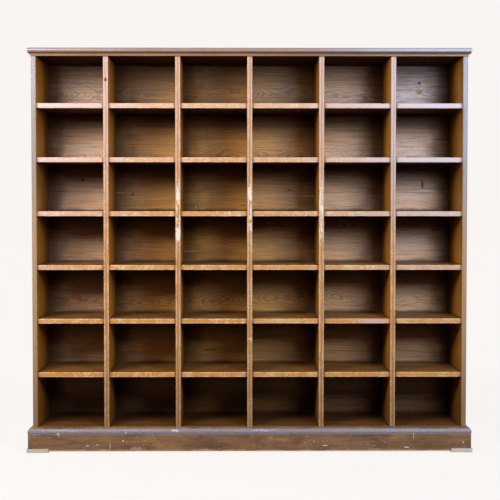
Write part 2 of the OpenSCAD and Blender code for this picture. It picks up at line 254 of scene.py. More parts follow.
# %% Shader group for sawn wood
def grow(tree, where, heart, ring, sway, seed):
    moved = tree.shifted(where, seed, (7.1, 3.3, 5.7))

    def drift(per_metre, detail, amount):
        aside = tree.vec("SUBTRACT", tree.cloud(moved, per_metre, detail, "Color"), HALF)
        return tree.vec("MULTIPLY", aside, tree.join(0.0, amount, amount))

    from_heart = tree.vec("ADD", tree.vec("SUBTRACT", where, heart), drift((3.6, 1.5, 1.5), 1, sway))
    from_heart = tree.vec("ADD", from_heart, drift((16.0, 32.0, 32.0), 2, tree.times(sway, sway)))
    radius = tree.length(tree.vec("MULTIPLY", from_heart, (0.0, 1.0, 1.0)))
    rings = tree.calc("DIVIDE", radius, ring)
    phase = tree.calc("FRACT", rings)
    late = tree.times(tree.ramp(phase, 0.25, 0.85), tree.fade(phase, 0.88, 1.0))
    count = tree.calc("FLOOR", rings)
    lucky = tree.add("ShaderNodeTexWhiteNoise", {"W": count}, noise_dimensions="1D").outputs["Value"]
    late = tree.times(late, tree.line(lucky, 0.7, 0.3))
    streaks = tree.cloud(moved, (7.0, 150.0, 150.0), 4)
    pores = tree.ramp(tree.cloud(moved, (55.0, 1300.0, 1300.0), 1), 0.58, 0.70)
    height = tree.less(tree.line(late, 0.5, tree.times(streaks, 0.6)), tree.times(pores, 0.8))
    clouds = tree.cloud(moved, (2.0, 7.0, 9.0))
    return {"Late wood": late, "Streaks": streaks, "Clouds": clouds, "Pores": pores, "Height": height}


sawn_wood = new_group("Shader", "sawn_wood", {
    "Vector": ZERO, "Heart": ZERO, "Ring": 0.006, "Sway": 0.02, "Seed": 0.0,
}, grow)

# %% [markdown]
# Hands, sleeves and the spines of books rub the shellac off every front edge. The wear is strongest on the
# two arrises and breaks up into patches. A thin wavering core of old finish is left between them. The masks
# need to know only where the front plane is and how far a point lies across the board's thickness, which
# each board's mesh carries as an attribute.

# %% Shader group for rubbed front edges
def rub(tree, where, front, reach, across, seed):
    moved = tree.shifted(where, seed, (3.9, 8.3, 6.1))
    patchy = tree.cloud(moved, 24, 3)
    depth = tree.less(tree.split(where)[1], front)
    reach = tree.times(reach, tree.line(patchy, 2.0, 0.1))
    rubbed = tree.rest(tree.ramp(tree.calc("DIVIDE", depth, reach), 0.3, 1.2))
    arris = tree.ramp(tree.calc("ABSOLUTE", across), 0.35, 0.95)
    flecked = tree.line(tree.cloud(moved, 150), 0.6, tree.times(patchy, 0.4))
    bare = tree.ramp(tree.line(arris, 0.12, flecked), 0.50, 0.66)
    waver = tree.line(tree.cloud(moved, 6, 3), 1.6, -0.8)
    core = tree.fade(tree.calc("ABSOLUTE", tree.less(across, waver)), 0.12, 0.40)
    return {"Rubbed": rubbed, "Bare": tree.times(rubbed, bare), "Core": tree.times(rubbed, core)}


rubbed_edge = new_group("Shader", "rubbed_edge", {
    "Vector": ZERO, "Front": 0.0, "Reach": 0.004, "Across": 0.0, "Seed": 0.0,
}, rub)

# %% [markdown]
# This group paints shade. It darkens towards the outer corner of each cubby, the one away from the middle of
# the case, where the light reaches least, and high up under each shelf, and it paints the lowest rows darker.
# The corners repeat at the pitch of the cubbies, so one group can find the nearest corner line from a
# starting corner and the pitch, and darken towards it. Its Ends output is a painted shadow on each shelf
# front beside the uprights.

# %% Shader group for painted shade in the cubby corners
def shade_corners(tree, where, corner, pitch, board, reach, under_shelf, low_z, high_z):
    cells = tree.vec("DIVIDE", tree.vec("SUBTRACT", where, corner), pitch)
    in_cell = tree.vec("FRACTION", cells)
    centred = tree.vec("SUBTRACT", in_cell, HALF)
    from_line = tree.vec("SUBTRACT", HALF, tree.vec("ABSOLUTE", centred))
    from_line = tree.split(tree.vec("MULTIPLY", from_line, pitch))
    half = tree.times(board, 0.5)
    upright_line = tree.less(from_line[0], half)
    level_line = tree.times(tree.less(from_line[2], half), 6.0)
    x, y, z = tree.split(where)
    outwards = tree.times(tree.split(centred)[0], tree.calc("SIGN", x))
    inner_half = tree.fade(outwards, -0.1, 0.1)
    reach = tree.times(reach, tree.line(tree.cloud(where, 14, 3), 1.6, 0.2))
    outer_line = tree.calc("ADD", upright_line, inner_half)
    nearest = tree.calc("DIVIDE", tree.calc("MINIMUM", outer_line, level_line), reach)
    above = tree.times(tree.rest(tree.split(in_cell)[2]), tree.split(pitch)[2])
    under = tree.fade(tree.less(above, half), 0.0, under_shelf)
    # All three outputs are painted shade; Ends is the painted shadow on a shelf front beside each upright
    return {
        "Grime": tree.fade(nearest, 0.0, 1.0),
        "Shade": tree.calc("MAXIMUM", under, tree.fade(z, low_z, high_z)),
        "Ends": tree.fade(tree.calc("DIVIDE", upright_line, reach), 0.0, 0.2),
    }


painted_corner_shade = new_group("Shader", "painted_corner_shade", {
    "Vector": ZERO, "Corner": ZERO, "Pitch": (1.0, 1.0, 1.0), "Board": 0.021, "Reach": 0.03,
    "Under shelf": 0.15, "Low": 0.0, "High": 0.5,
}, shade_corners)

# %% [markdown]
# Old furniture has scratches that follow its use and small pale specks of plaster and paint. Stretched
# noise, cut off near its peaks, gives thin broken lines along the chosen direction, and round noise gives
# the specks.

# %% Shader group for scratches and specks
def scuff(tree, where, along, speck, amount, seed):
    moved = tree.shifted(where, seed, (5.3, 2.7, 9.1))
    patches = tree.cloud(moved, 5)
    limit = tree.line(amount, -0.14, 0.80)

    def peaks(per_metre, detail, start, end):
        return tree.ramp(tree.cloud(moved, per_metre, detail), start, tree.calc("ADD", limit, end))

    lines = peaks(along, 2, limit, 0.05)
    dots = peaks(tree.even(speck), 1, tree.calc("ADD", limit, 0.02), 0.06)
    return {
        "Scratches": tree.times(lines, tree.ramp(patches, 0.42, 0.62)),
        "Specks": tree.times(dots, tree.ramp(patches, 0.36, 0.60)),
    }


scuffs = new_group("Shader", "scuffs", {
    "Vector": ZERO, "Along": (8.0, 300.0, 300.0), "Speck": 160.0, "Amount": 0.5, "Seed": 0.0,
}, scuff)

# %% [markdown]
# Some marks sit at one place on the case, such as a chip in the plinth or a knot in a back board. This
# group is one soft blot with a ragged outline, placed by its centre and its half sizes in metres.

# %% Shader group for one placed mark
def draw_blot(tree, where, centre, size, ragged):
    away = tree.length(tree.vec("DIVIDE", tree.vec("SUBTRACT", where, centre), size))
    rough = tree.times(tree.less(tree.cloud(where, 140, 3), 0.5), tree.times(ragged, 4.0))
    return {"Mask": tree.rest(tree.ramp(tree.calc("ADD", away, rough), 0.7, 1.1))}


blot = new_group("Shader", "blot", {
    "Vector": ZERO, "Centre": ZERO, "Size": (0.01, 0.01, 0.01), "Ragged": 0.4,
}, draw_blot)

# %% [markdown]
# Every wooden finish starts alike, with the wood's own colour from the groups above under a film of shellac
# that has warmed and darkened. A Finish is a material under way. It lays that down, then each of its methods
# adds one kind of wear or one kind of painted shade or sheen, so that every material below can go on in its
# own way. The grain direction is chosen by reordering the coordinates. A back board tells its middle height,
# so that each board has its own heart.

# %% A wooden finish, its kinds of wear and its painted shade and sheen
ORDER = {"x": (0, 1, 2), "z": (2, 1, 0)}
# Mostly painted shade in corners, under things, deep in the cubbies and along joints; one placed dent is a
# real dark mark
SHADE_AND_SOIL = (0.045, 0.013, 0.004)
# Grey dust together with a painted sheen on the mouldings
DUST_AND_SHEEN = (0.27, 0.255, 0.30)
HOLE = (0.006, 0.004, 0.003)
CORNER = (low("divider_1").x + UPRIGHT_T / 2, 0.0, low("shelf_1_1").z + SHELF_T / 2)


def emptied(owner):
    """The node tree of a material or a world, with nothing in it."""
    owner.use_nodes = True
    owner.node_tree.nodes.clear()
    return owner.node_tree


class Finish(Tree):
    """A material under way: its coordinates, and the colour, roughness and height so far."""

    def __init__(self, name, grain, heart, ring, sway, light, dark, streak=0.35, rough=0.42):
        self.material = bpy.data.materials.new(name)
        super().__init__(emptied(self.material))
        self.where = self.add("ShaderNodeTexCoord").outputs["Object"]
        self.x, self.y, self.z = self.split(self.where)
        self.tone, self.across, middle = (
            self.add("ShaderNodeAttribute", attribute_name=kept).outputs["Fac"]
            for kept in ("tone", "across", "middle")
        )
        parts = self.split(self.vec("SUBTRACT", self.where, self.join(0.0, 0.0, middle)))
        along = self.join(*(parts[i] for i in ORDER[grain]))
        heart = tuple(heart[i] for i in ORDER[grain])
        self.wood = wood = self.use(
            sawn_wood, Vector=along, Heart=heart, Ring=ring, Sway=sway, Seed=self.tone)
        base = self.blend(wood["Late wood"], light, dark)
        base = self.blend(self.fade(wood["Streaks"], 0.34, 0.62, streak), base, dark)
        cloudy = self.ramp(wood["Clouds"], 0.25, 0.75, 0.78, 1.2)
        toned = self.times(cloudy, self.line(self.tone, 0.12, 1.0))
        base = self.blend(1.0, base, self.even(toned), "MULTIPLY")
        self.colour = self.blend(self.times(wood["Pores"], 0.35), base, (0.05, 0.022, 0.008))
        self.rough = self.line(wood["Clouds"], 0.16, rough - 0.08)
        self.height = wood["Height"]
        self.gloss = 1.0
        between_sides = self.fade(self.calc("ABSOLUTE", self.x), SIDE_X - 12 * MM, SIDE_X - 8 * MM)
        self.outer_face = self.rest(between_sides)
        self.behind = self.ramp(self.y, BACK + 4 * MM, BACK + 8 * MM)
        self.inside = self.times(between_sides, self.rest(self.behind))

    def over(self, mask, shade, rough=None, lift=0.0, dull=0.0):
        """Lays a colour over the finish where the mask is 1, with its own roughness, height and dullness."""
        self.colour = self.blend(mask, self.colour, shade)
        if rough is not None:
            self.rough = self.line(mask, self.less(rough, self.rough), self.rough)
        if lift:
            self.height = self.line(mask, lift, self.height)
        if dull:
            self.gloss = self.times(self.gloss, self.line(mask, -dull, 1.0))

    def marks(self, y, places, half_y=10):
        """Placed blots at one depth: x and z, half sizes, colour, strength and raggedness.

        The half sizes are in millimetres.
        """
        for x, z, half_x, half_z, shade, strength, ragged in places:
            size = (half_x * MM, half_y * MM, half_z * MM)
            mask = self.use(blot, Vector=self.where, Centre=(x, y, z), Size=size, Ragged=ragged)["Mask"]
            self.over(self.times(mask, strength), shade, 0.7, 0.0, 0.8)

    def scuff(self, along, amount, seed, **looks):
        """Scratches and Specks, each with its strength, colour, roughness and, if it is cut in, height."""
        found = self.use(scuffs, Vector=self.where, Along=along, Amount=amount, Seed=seed)
        for label, (strength, *look) in looks.items():
            self.over(self.times(found[label], strength), *look)

    def rubbed(self, front, reach):
        """The masks of a rubbed front edge."""
        return self.use(rubbed_edge, Vector=self.where, Front=front, Reach=reach, Across=self.across,
                        Seed=self.tone)

    def paint_shade(self, corner_shaded, shaded, reach=70 * MM):
        """Painted shade in the outer cubby corners, under the shelves and in the lowest rows; returns the
        painted shadow at the shelf ends.
        """
        found = self.use(painted_corner_shade, Vector=self.where, Corner=CORNER, Pitch=(PITCH_X, 1.0, PITCH_Z),
                         Board=UPRIGHT_T, Reach=reach)
        shaded = self.ramp(self.z, 1.45, 1.6, shaded, shaded * 0.6)
        self.over(self.times(found["Shade"], self.times(shaded, self.inside)), SHADE_AND_SOIL, 0.6, 0.0, 0.9)
        self.over(self.times(found["Grime"], self.times(self.inside, corner_shaded)), SHADE_AND_SOIL, 0.7, 0.0, 0.9)
        return found["Ends"]

    def shade_deep(self, strength):
        """Painted shade, darker towards the back of the cubbies, where less light reaches."""
        depth = self.ramp(self.y, FRONT + 0.04, BACK - 0.03, 0.0, strength)
        self.over(self.times(depth, self.inside), SHADE_AND_SOIL, 0.55, 0.0, 0.8)

    def paint_window_light(self, rubbed, shade, start=0.95, end=1.6):
        """Paints window light over the rubbed wood, most in the upper rows and outer columns and bluer at the
        right.
        """
        aside = self.ramp(self.calc("ABSOLUTE", self.calc("ADD", self.x, 0.12)), 0.05, 0.85)
        height = self.ramp(self.line(aside, 0.3, self.z), start, end)
        height = self.times(height, self.line(aside, 0.55, 0.35))
        cooler = tuple(part * k for part, k in zip(shade, (0.9, 1.05, 1.25)))
        shade = self.blend(self.ramp(self.x, 0.2, 0.9), shade, cooler)
        self.over(self.times(height, rubbed), shade)

    def band(self, start, end, strength, soft=4 * MM):
        """A level band between two heights."""
        rising = self.ramp(self.z, start - soft, start + soft, 0.0, strength)
        return self.times(rising, self.fade(self.z, end - soft, end + soft))

    def dust_and_sheen(self, band, least=0.5):
        """Grey dusty bloom and painted sheen in a band, thinner in places."""
        uneven = self.cloud(self.where, (60.0, 60.0, 160.0), 4)
        self.over(self.times(band, self.ramp(uneven, 0.38, 0.58, least, 1.0)), DUST_AND_SHEEN)

    def close(self, bump=0.25, specular=0.5):
        """Ends the material: one Principled BSDF with the shellac's gloss and a shallow bump."""
        sockets = {"Strength": bump, "Distance": 0.6 * MM, "Height": self.height}
        shader = self.out("ShaderNodeBsdfPrincipled", {
            "Base Color": self.colour,
            "Roughness": self.rough,
            "Specular IOR Level": self.times(self.gloss, specular),
            "Normal": self.out("ShaderNodeBump", sockets),
        })
        self.add("ShaderNodeOutputMaterial", {"Surface": shader})
        print(self.material.name, "nodes:", len(self.data.nodes))
        return self.material


print("grain along:", sorted(ORDER))

# %% [markdown]
# The shelves are the most handled boards. Their faces keep the red-brown shellac, and their front edges are
# rubbed down to orange wood with paler flecks. A painted sheen of the windows turns the upper front edges
# pinkish and, at the right, bluish. Painted shade darkens the undersides, the cubby corners, the ends of each
# front beside the uprights and the back of the lowest cubbies. The last lines place the marks that are plain
# in
# the photo: pale chips on the lower shelves, a nick, and the dark slot in the floor of the first column.

# %% Finish of the shelves
BARE_WOOD = (0.82, 0.53, 0.28)
RUBBED_WOOD = (0.62, 0.275, 0.06)
# Painted sheen colour of the upper rubbed front edges
PAINTED_SHEEN = (0.62, 0.47, 0.42)
PINK_WEAR = (0.66, 0.44, 0.36)

shelf = Finish("shelf_wood", "x", (0, 0.02, -0.15), 0.005, 0.05, (0.47, 0.21, 0.04), (0.22, 0.08, 0.011),
               0.35, 0.36)
# Painted shade on the shelves' undersides
shaded_underside = shelf.fade(shelf.across, -0.98, -0.85, 0.95)
shelf.over(shaded_underside, SHADE_AND_SOIL, 0.7)
# Painted shade in the corners and under the shelves; it returns the painted shadow at the shelf ends
end_shadow = shelf.paint_shade(0.3, 0.3)
worn = shelf.rubbed(SHELF_FRONT, 6 * MM)
shelf.over(worn["Rubbed"], RUBBED_WOOD, 0.40)
shelf.over(worn["Bare"], BARE_WOOD, 0.5)
# Painted sheen of the windows on the upper front edges
shelf.paint_window_light(worn["Rubbed"], PAINTED_SHEEN, 0.7, 1.7)
# Painted shadow at each end of a front, beside the uprights that stand proud of it
shelf.over(shelf.times(end_shadow, 0.8), (0.16, 0.06, 0.02), 0.5)
# Painted shade low down and deep in the lowest cubbies
low_down = shelf.fade(shelf.z, 0.12, 0.2)
far_back = shelf.ramp(shelf.y, FRONT + 0.05, BACK - 0.05, 0.25, 0.85)
shelf.over(shelf.times(low_down, far_back), SHADE_AND_SOIL, 0.6)
shelf.scuff((18.0, 260.0, 260.0), 0.5, shelf.tone,
            Scratches=(0.4, (0.10, 0.05, 0.025), 0.6, -0.3), Specks=(0.5, (0.70, 0.58, 0.46), 0.7))
shelf.marks(SHELF_FRONT, [
    (-0.139, 0.552, 5, 8, BARE_WOOD, 0.9, 0.4),
    (0.145, 0.543, 100, 9, BARE_WOOD, 0.45, 0.9),
    (0.503, 0.543, 68, 11, PINK_WEAR, 0.85, 0.7),
    (-0.465, 0.330, 12, 8, BARE_WOOD, 0.8, 0.8),
    (-0.040, 0.332, 21, 6, PINK_WEAR, 0.9, 0.6),
])
shelf.marks(0.06, [(0.512, 0.331, 4, 4, BARE_WOOD, 0.9, 0.4)], 4)
shelf.marks(-0.007, [(-0.662, FLOOR_Z, 15, 5, HOLE, 1.0, 0.2)], 4)
shelf_wood = shelf.close()

# %% [markdown]
# The dividers and sides stand with their grain upright. Where a hand pulls books out, between the height of
# the hips and the chest, the middle uprights have lost chips of finish down to whitish wood. A painted sheen
# of the windows turns their upper front edges pale, and bluer at the right. The two sides were rubbed less,
# the upper part of their fronts is painted darker and greyer as painted shade, and their outer faces keep the
# darkest shellac. Painted shade darkens the uprights under each shelf, towards the back of the cubbies, in
# the lowest rows and in a line under the carcass top. The placed marks are the largest chips, and one dark
# dent high up.

# %% Finish of the uprights
HAND_LOW = 0.88
HAND_HIGH = 1.10
DIVIDER_2 = (low("divider_2").x + high("divider_2").x) / 2
PALE_CHIP = (0.85, 0.74, 0.60)

upright = Finish("upright_wood", "z", (0.05, 0.25, 0), 0.006, 0.06, (0.76, 0.32, 0.022), (0.34, 0.12, 0.007),
                 0.35, 0.36)
upright.over(upright.times(upright.outer_face, 0.7), (0.17, 0.075, 0.022), 0.4)
# Painted shade under each shelf and in the lowest rows
upright.paint_shade(0.0, 0.3)
# Painted shade towards the back of the cubbies
upright.shade_deep(0.8)
worn = upright.rubbed(FRONT, 5 * MM)
aside = upright.calc("ABSOLUTE", upright.x)
upright.over(worn["Rubbed"], (0.54, 0.26, 0.085), 0.38)
upright.over(worn["Bare"], (0.74, 0.46, 0.24), 0.45)
# Painted sheen of the windows on the upper front edges
upright.paint_window_light(worn["Rubbed"], (0.50, 0.37, 0.33))
upright.over(upright.times(worn["Core"], 0.7), (0.34, 0.13, 0.045), 0.35)
outside = upright.times(upright.ramp(aside, high("divider_5").x, low("side_right").x), worn["Rubbed"])
upright.over(outside, (0.40, 0.25, 0.13), 0.35)
# Painted shade: the upper side fronts are made darker and greyer, under the lamps' own sheen
upright.paint_window_light(outside, (0.20, 0.175, 0.17), 1.05, 1.7)
above = upright.ramp(upright.z, HAND_LOW - 0.03, HAND_LOW + 0.04)
below = upright.fade(upright.z, HAND_HIGH - 0.04, HAND_HIGH + 0.05)
middle_ones = upright.fade(aside, 0.33, 0.40, 0.85)
chips = upright.ramp(upright.cloud(upright.where, (160.0, 60.0, 45.0), 3), 0.50, 0.56)
chips = upright.times(chips, upright.times(above, below), middle_ones, worn["Rubbed"])
upright.over(chips, (0.82, 0.68, 0.53), 0.6, -0.3)
upright.scuff((260.0, 260.0, 14.0), 0.5, upright.tone, Scratches=(0.4, (0.09, 0.04, 0.02), 0.6, -0.3))
# Painted shade, darker towards the bottom
upright.over(upright.fade(upright.z, 0.1, 0.5, 0.35), SHADE_AND_SOIL)
# Painted shadow line under the carcass top
upright.over(upright.ramp(upright.z, CEILING_Z - 5 * MM, CEILING_Z - 2 * MM, 0.0, 0.7), SHADE_AND_SOIL)
upright.marks(FRONT, [
    (DIVIDER_2, 0.90, 12, 26, PALE_CHIP, 0.85, 0.4),
    (DIVIDER_2, 1.06, 7, 36, PALE_CHIP, 0.6, 0.8),
    (0.0, 1.07, 7, 30, PALE_CHIP, 0.8, 0.4),
    (0.0, 0.47, 11, 6, PALE_CHIP, 0.5, 0.4),
    (-DIVIDER_2, 0.99, 6, 70, PALE_CHIP, 0.4, 0.9),
    (2 * DIVIDER_2, 1.54, 6, 9, SHADE_AND_SOIL, 0.9, 0.6),
])
upright_wood = upright.close()

# %% [markdown]
# The back boards lie across the case and were finished thinly. They were sawn flat through the heart, so the
# figure opens into long arches along the middle of each board. In the outer columns a greyish painted sheen
# lies on them, with a bluish painted reflection in the top right cubby, and their rear side was never
# finished.
# Painted shade darkens their corners, the parts just under each shelf and the lowest rows. The placed marks
# are the knots, nail holes and pale scratches that can be told apart in the photo.

# %% Finish of the back boards and other inner boards
# Colour of the painted greyish sheen and of the pale scratches
GREY_SHEEN_AND_WEAR = (0.60, 0.43, 0.325)
KNOT = (0.36, 0.20, 0.08)
LAST_X = high("divider_5").x
ROW_Z = high("shelf_1_1").z

inner = Finish("inner_wood", "x", (0, BACK + 0.04, 0), 0.0055, 0.11, (0.70, 0.33, 0.031), (0.30, 0.12, 0.010),
               0.5, 0.43)
x, z = inner.x, inner.z
# Painted sheen of the two windows on the outer columns, weaker low down and at the top, broken by the figure
left, right = inner.fade(x, -0.75, -0.35, 0.75), inner.ramp(x, -0.1, 0.7, 0.0, 0.7)
window_sheen = inner.times(inner.calc("MAXIMUM", left, right), inner.ramp(z, 0.3, 0.9, 0.5, 1.0))
window_sheen = inner.times(window_sheen, inner.ramp(z, 1.15, 1.6, 1.0, 0.4))
figure = inner.less(inner.wood["Streaks"], inner.times(inner.wood["Late wood"], 0.2))
figure = inner.ramp(figure, 0.25, 0.55, 0.2, 1.1)
inner.over(inner.times(window_sheen, inner.times(figure, inner.inside)), GREY_SHEEN_AND_WEAR)
# Painted bluish reflection of the right window on the back of the top right cubby
last_column = inner.ramp(x, LAST_X - 20 * MM, LAST_X - 5 * MM)
top_row = inner.ramp(z, ROW_Z - 18 * MM, ROW_Z - 3 * MM)
uneven = inner.ramp(inner.cloud(inner.where, (12.0, 20.0, 30.0), 3), 0.35, 0.6, 0.15, 0.7)
window_reflection = inner.times(last_column, top_row, uneven, figure, inner.inside)
inner.over(window_reflection, (0.42, 0.38, 0.47))
inner.over(inner.times(inner.behind, 0.6), (0.25, 0.17, 0.105), 0.8, 0.0, 0.9)
# Painted shade in the corners, under the shelves and in the lowest rows
inner.paint_shade(0.85, 0.9, 110 * MM)
# Painted shade under the carcass top
inner.over(inner.ramp(z, CEILING_Z - 6 * MM, CEILING_Z, 0.0, 0.9), SHADE_AND_SOIL, 0.7, 0.0, 0.9)
inner.scuff((14.0, 420.0, 420.0), 0.3, 0.0,
            Scratches=(0.3, (0.62, 0.50, 0.38), 0.5, -0.2), Specks=(0.4, (0.08, 0.04, 0.02), 0.6))
inner.marks(BACK, [
    (0.744, 1.559, 6, 6, HOLE, 1.0, 0.2),
    (0.744, 1.522, 17, 14, KNOT, 0.6, 0.4),
    (0.713, 1.069, 60, 3, GREY_SHEEN_AND_WEAR, 0.6, 0.4),
    (0.760, 1.115, 6, 20, HOLE, 0.7, 0.4),
    (0.310, 1.065, 290, 2, GREY_SHEEN_AND_WEAR, 0.5, 0.4),
    (-0.729, 1.135, 9, 6, HOLE, 0.7, 0.4),
    (-0.510, 1.074, 5, 7, HOLE, 0.8, 0.4),
    (0.176, 1.091, 4, 4, HOLE, 0.9, 0.4),
    (-0.025, 1.025, 16, 2, HOLE, 0.8, 0.4),
    (-0.233, 1.016, 4, 4, GREY_SHEEN_AND_WEAR, 0.9, 0.4),
    (-0.169, 0.388, 34, 3, HOLE, 0.9, 0.4),
    (-0.600, 1.079, 280, 2, GREY_SHEEN_AND_WEAR, 0.4, 0.4),
    (0.0, 0.8235, 590, 2, GREY_SHEEN_AND_WEAR, 0.5, 0.4),
])
inner_wood = inner.close(0.5, 0.8)

# %% [markdown]
# The top board and its cornice have the same shellac, less rubbed but dusty. Grey dust with a painted sheen
# lies all over the nose, and a bluish painted reflection of the right window lies on its right part. A paler
# band of dust and painted light runs along the cornice's cove. Painted shadow darkens the joint below the
# nose and the cornice's lower edge.

# %% Finish of the top and cornice
TOP_Z = high("top_board").z
JOINT_Z = high("cornice_front").z
FOOT_Z = low("cornice_front").z

top = Finish("top_wood", "x", (0, 0.1, 1.2), 0.006, 0.05, (0.34, 0.155, 0.032), (0.28, 0.12, 0.024),
             0.1, 0.34)
top.scuff((10.0, 200.0, 200.0), 0.6, 0.0,
          Scratches=(0.5, (0.62, 0.47, 0.33), 0.5, -0.3), Specks=(0.6, (0.10, 0.05, 0.03), 0.6))
nose = top.band(JOINT_Z + 2 * MM, TOP_Z + 9 * MM, 0.9, 1 * MM)
# Dust with painted sheen on the nose, heaviest at the left end
top.dust_and_sheen(top.times(nose, top.ramp(top.x, -0.9, -0.6, 0.9, 0.65)), 0.6)
# Painted bluish reflection of the right window on the nose
top.over(top.times(nose, top.ramp(top.x, 0.2, 0.65, 0.0, 0.9)), (0.34, 0.37, 0.45))
# Dust and painted light on the cornice's cove
top.dust_and_sheen(top.band(JOINT_Z - 9 * MM, JOINT_Z - 3 * MM, 0.3, 2 * MM))
# Painted shadow in the joint under the nose
top.over(top.band(JOINT_Z - 3 * MM, JOINT_Z + 1 * MM, 0.8, 1 * MM), SHADE_AND_SOIL, 0.6, 0.0, 0.9)
top.over(top.ramp(top.z, TOP_Z - 1 * MM, TOP_Z, 0.0, 0.9), (0.20, 0.17, 0.16), 0.65, 0.0, 0.7)
# Painted shadow line along the cornice's lower edge
top.over(top.band(FOOT_Z - 5 * MM, FOOT_Z + 2 * MM, 0.75, 1 * MM), SHADE_AND_SOIL, 0.6, 0.0, 0.9)
top_wood = top.close(0.15, 0.8)

# %% [markdown]
# The plinth meets mops and shoes. Dust and a painted sheen grey its moulding, with a few painted highlights,
# and its face is scuffed, chipped and lighter along the lower edge. The placed marks are the painted
# highlights and the spots of paint.

# %% Finish of the plinth
PLINTH_TOP = high("plinth_front").z
HIGHLIGHT_Z = PLINTH_TOP - 12 * MM
FACE = low("plinth_front").y
SPOT = (0.80, 0.76, 0.70)
# Colour of the painted highlights on the moulding
PAINTED_HIGHLIGHT = (0.72, 0.70, 0.76)
BARE_CORNER = (0.60, 0.34, 0.20)

plinth = Finish("plinth_wood", "x", (0, 0.0, -0.12), 0.006, 0.05, (0.27, 0.135, 0.055), (0.15, 0.068, 0.025),
                0.5)
rise = plinth.less(plinth.z, low("plinth_front").z)
uneven = plinth.times(plinth.cloud(plinth.where, 20, 3), 20 * MM)
lower_edge = plinth.fade(plinth.calc("ADD", rise, uneven), 10 * MM, 19 * MM, 0.9)
plinth.over(lower_edge, (0.62, 0.36, 0.19), 0.5)
blotches = plinth.cloud(plinth.where, (9.0, 9.0, 30.0), 3)
plinth.over(plinth.ramp(blotches, 0.52, 0.66, 0.0, 0.55), (0.10, 0.042, 0.018), 0.4)
plinth.over(plinth.ramp(blotches, 0.46, 0.34, 0.0, 0.5), (0.40, 0.215, 0.07), 0.5)
plinth.scuff((14.0, 160.0, 160.0), 0.9, 0.0,
             Scratches=(0.5, (0.46, 0.33, 0.22), 0.6, -0.3), Specks=(0.8, (0.62, 0.56, 0.50), 0.6))
# Dust and painted sheen on the moulding
plinth.dust_and_sheen(plinth.band(PLINTH_TOP - 28 * MM, PLINTH_TOP - 5 * MM, 1.0, 2 * MM), 0.55)
# Painted highlights along the moulding
plinth.marks(FACE, [
    (-0.310, HIGHLIGHT_Z, 16, 5, PAINTED_HIGHLIGHT, 0.9, 0.8),
    (-0.760, HIGHLIGHT_Z, 90, 2, PAINTED_HIGHLIGHT, 0.45, 0.8),
    (-0.480, HIGHLIGHT_Z, 110, 2, PAINTED_HIGHLIGHT, 0.3, 0.9),
    (0.050, HIGHLIGHT_Z, 40, 3, PAINTED_HIGHLIGHT, 0.5, 0.9),
], 14)
plinth.marks(FACE, [
    (-0.792, 0.078, 7, 5, SPOT, 0.8, 0.4),
    (-0.578, 0.028, 2, 17, SPOT, 0.6, 0.2),
    (-0.672, 0.029, 6, 4, SPOT, 0.5, 0.4),
    (-0.631, 0.033, 5, 4, SPOT, 0.5, 0.4),
    (-0.524, 0.049, 3.5, 3.5, SPOT, 1.0, 0.2),
    (-0.512, 0.082, 3.5, 3.5, SPOT, 1.0, 0.2),
    (-0.470, 0.016, 26, 8, BARE_CORNER, 0.7, 1.0),
    (0.650, 0.021, 12, 3, SPOT, 0.8, 0.4),
    (0.312, 0.029, 12, 3, SPOT, 0.8, 0.4),
    (0.885, 0.041, 3.5, 3.5, SPOT, 0.9, 0.2),
    (0.679, 0.070, 2, 20, SPOT, 0.5, 0.2),
])
plinth_wood = plinth.close()

# %% [markdown]
# Bearers and glue blocks were never finished, and the pads are a newer, paler wood.

# %% Finishes of the raw wood and the pads
raw = Finish("raw_wood", "x", (0, 0.1, -0.1), 0.006, 0.03, (0.50, 0.36, 0.21), (0.33, 0.21, 0.11), 0.4, 0.75)
raw_wood = raw.close(0.3, 0.3)
pad = Finish("pad_wood", "x", (0, 0.1, -0.2), 0.004, 0.02, (0.80, 0.72, 0.56), (0.62, 0.52, 0.38), 0.3, 0.8)
pad_wood = pad.close(0.3, 0.3)

# %% [markdown]
# The fasteners are dull iron, brown with thin rust and brighter where a hammer or driver has struck.

# %% Finish of the iron
iron = bpy.data.materials.new("iron")
tree = Tree(emptied(iron))
rust = tree.cloud(tree.add("ShaderNodeTexCoord").outputs["Object"], 420, 3)
rust = tree.ramp(rust, 0.42, 0.62)
shader = tree.out("ShaderNodeBsdfPrincipled", {
    "Base Color": tree.blend(rust, (0.16, 0.15, 0.14), (0.13, 0.055, 0.025)),
    "Metallic": tree.rest(rust),
    "Roughness": tree.line(rust, 0.4, 0.45),
})
tree.add("ShaderNodeOutputMaterial", {"Surface": shader})
print("iron nodes:", len(tree.data.nodes))

# %% [markdown]
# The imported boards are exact, with every arris a true small round. The real ones were that sharp once. A
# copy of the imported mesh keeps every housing, dovetail and nail hole where it is. It is welded, its flat
# faces are made whole again, and it is cut into short lengths, so that the edges have points to wear at.

# %% Copy a packed board and cut it into lengths
def board_copy(name):
    """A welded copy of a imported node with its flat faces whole."""
    bm = bmesh.new()
    bm.from_mesh(nodes[name].data)
    bmesh.ops.remove_doubles(bm, verts=bm.verts, dist=0.002 * MM)
    bmesh.ops.dissolve_limit(bm, angle_limit=math.radians(0.3), verts=bm.verts, edges=bm.edges)
    return bm


def cut_in_lengths(bm, axis, step):
    """Cuts the board across the axis at equal steps."""
    reach = [v.co[axis] for v in bm.verts]
    start, end = min(reach), max(reach)
    count = round((end - start) / step)
    across = Vector([float(i == axis) for i in range(3)])
    for k in range(1, count):
        at = across * (start + (end - start) * k / count)
        parts = bm.verts[:] + bm.edges[:] + bm.faces[:]
        bmesh.ops.bisect_plane(bm, geom=parts, dist=TOUCH, plane_co=at, plane_no=across)


def wander(seed, x, y=0.0, z=0.0):
    """Smooth noise from 0 to 1."""
    return 0.5 + 0.5 * noise.noise(Vector((x, y, z)) + Vector((seed, 2.3 * seed, 5.1 * seed)))


